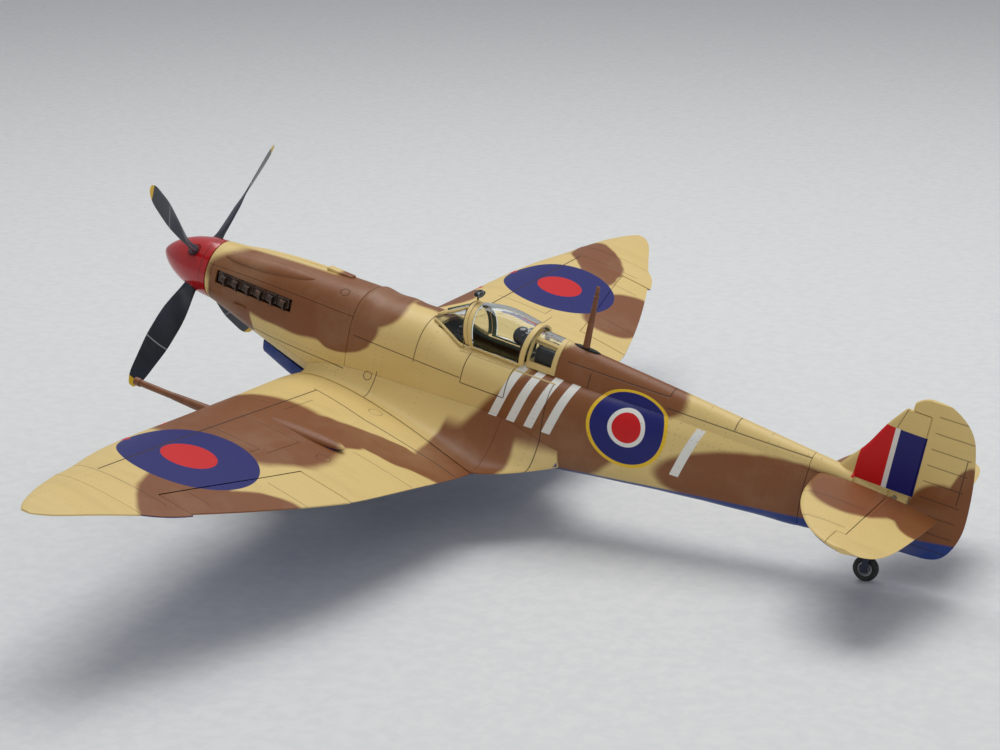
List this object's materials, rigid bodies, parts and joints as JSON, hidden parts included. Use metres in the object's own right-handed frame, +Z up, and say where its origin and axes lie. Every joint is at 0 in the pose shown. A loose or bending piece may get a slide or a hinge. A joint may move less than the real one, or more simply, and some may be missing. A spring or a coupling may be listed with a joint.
{
  "type": "propeller fighter scale model",
  "caption": "Static scale model of a single-seat propeller fighter with turning propeller, rolling wheels, sliding hood, entry door, flaps and hinged controls.",
  "frame": {"origin": "on the standing surface, under the middle of the bounding box", "axes": "+X towards the tail, +Y towards the starboard wing tip, +Z up; the aircraft stands nose up on its main and tail wheels"},
  "size_m": [0.2971, 0.3818, 0.11],
  "materials": {
    "camouflage": "satin painted plastic, two-colour camouflage",
    "underside": "satin painted plastic, blue underside",
    "spinner_red": "gloss",
    "blade_black": "satin, yellow tips",
    "dark_metal": "heat-stained",
    "silver_paint": "satin silver",
    "tyre": "matt rubber",
    "clear": "clear styrene",
    "cockpit_green": "matt",
    "black_plastic": "satin"
  },
  "bodies": {
    "airframe": {"cowl_top": "camouflage", "cowl_left": "camouflage", "cowl_right": "camouflage", "cowl_lower": "underside", "firewall": "silver_paint", "engine_block": "dark_metal", "exhausts_left": "dark_metal", "exhausts_right": "dark_metal", "carb_intake": "underside", "fuselage_left": "camouflage", "fuselage_right": "camouflage", "fillet_left": "camouflage", "fillet_right": "camouflage", "wing_upper_left": "camouflage", "wing_upper_right": "camouflage", "wing_lower": "underside", "wing_tip_left": "camouflage", "wing_tip_right": "camouflage", "cannon_left": "dark_metal", "cannon_right": "dark_metal", "radiator_left": "underside", "radiator_right": "underside", "gear_leg_left": "silver_paint", "gear_leg_right": "silver_paint", "gear_door_left": "underside", "gear_door_right": "underside", "tail_unit": "camouflage", "tailplane_left": "camouflage", "tailplane_right": "camouflage", "tail_strut": "silver_paint", "windscreen_glass": "clear", "windscreen_frame": "camouflage", "rear_glazing": "clear", "cockpit_floor": "cockpit_green", "seat": "cockpit_green", "armour_headrest": "black_plastic", "instrument_panel": "black_plastic", "radio_mast": "camouflage"},
    "propeller": {"spinner": "spinner_red", "propeller_hub": "dark_metal", "propeller_blades": "blade_black"},
    "wheel_left": {"main_wheel_left": "silver_paint", "main_tyre_left": "tyre"},
    "wheel_right": {"main_wheel_right": "silver_paint", "main_tyre_right": "tyre"},
    "tail_castor": {"tail_fork": "silver_paint"},
    "tail_roller": {"tail_wheel": "tyre"},
    "rudder_body": {"rudder": "camouflage"},
    "elevators": {"elevator_left": "camouflage", "elevator_right": "camouflage", "elevator_tube": "silver_paint"},
    "stick": {"control_column": "cockpit_green"},
    "aileron_right_body": {"aileron_right": "camouflage"},
    "aileron_left_body": {"aileron_left": "camouflage"},
    "flap_right_body": {"flap_right": "underside"},
    "flap_left_body": {"flap_left": "underside"},
    "hood": {"hood_glass": "clear", "hood_frame": "camouflage"},
    "door": {"cockpit_door": "camouflage"}
  },
  "joints": [
    {"name": "propeller_spin", "type": "hinge", "parent": "airframe", "child": "propeller", "pos_m": [-0.13244, 0, 0.07264], "axis": [0.9803, 0, -0.1975], "continuous": true},
    {"name": "wheel_left_spin", "type": "hinge", "parent": "airframe", "child": "wheel_left", "pos_m": [-0.0864, -0.0272, 0.0095], "axis": [0, 1, 0], "continuous": true},
    {"name": "wheel_right_spin", "type": "hinge", "parent": "airframe", "child": "wheel_right", "pos_m": [-0.0864, 0.0272, 0.0095], "axis": [0, 1, 0], "continuous": true},
    {"name": "tail_castor_swivel", "type": "hinge", "parent": "airframe", "child": "tail_castor", "pos_m": [0.11259, 0, 0.0048], "axis": [0.1975, 0, 0.9803], "continuous": true},
    {"name": "tail_wheel_spin", "type": "hinge", "parent": "tail_castor", "child": "tail_roller", "pos_m": [0.11582, 0, 0.00415], "axis": [0, 1, 0], "continuous": true},
    {"name": "rudder_hinge", "type": "hinge", "parent": "airframe", "child": "rudder_body", "pos_m": [0.12793, 0, 0.02017], "axis": [0.1975, 0, 0.9803], "range_deg": [-28, 28]},
    {"name": "elevator_hinge", "type": "hinge", "parent": "airframe", "child": "elevators", "pos_m": [0.12404, 0, 0.02871], "axis": [0, 1, 0], "range_deg": [-28, 23]},
    {"name": "stick_pitch", "type": "hinge", "parent": "airframe", "child": "stick", "pos_m": [-0.02323, 0, 0.03951], "axis": [0, 1, 0], "range_deg": [-15, 18]},
    {"name": "aileron_right_hinge", "type": "hinge", "parent": "airframe", "child": "aileron_right_body", "pos_m": [-0.03107, 0.09325, 0.03687], "axis": [-0.1815, 0.9715, 0.1526], "range_deg": [-20, 20]},
    {"name": "aileron_left_hinge", "type": "hinge", "parent": "airframe", "child": "aileron_left_body", "pos_m": [-0.03107, -0.09325, 0.03687], "axis": [0.1815, 0.9715, -0.1526], "range_deg": [-20, 20]},
    {"name": "flap_right_hinge", "type": "hinge", "parent": "airframe", "child": "flap_right_body", "pos_m": [-0.0255, 0.0144, 0.02355], "axis": [-0.0203, 0.9912, 0.1308], "range_deg": [0, 85]},
    {"name": "flap_left_hinge", "type": "hinge", "parent": "airframe", "child": "flap_left_body", "pos_m": [-0.0255, -0.0144, 0.02355], "axis": [0.0203, 0.9912, -0.1308], "range_deg": [0, 85]},
    {"name": "hood_slide", "type": "slide", "parent": "airframe", "child": "hood", "axis": [0.9803, 0, -0.1975], "range_m": [0, 0.014]},
    {"name": "door_hinge", "type": "hinge", "parent": "airframe", "child": "door", "pos_m": [-0.01308, -0.01399, 0.04685], "axis": [0.9803, 0, -0.1975], "range_deg": [0, 100]}
  ],
  "couplings": [
    {"joint": "stick_pitch", "follows": "elevator_hinge", "ratio": -0.6},
    {"joint": "aileron_left_hinge", "follows": "aileron_right_hinge", "ratio": -1},
    {"joint": "flap_left_hinge", "follows": "flap_right_hinge", "ratio": 1}
  ]
}
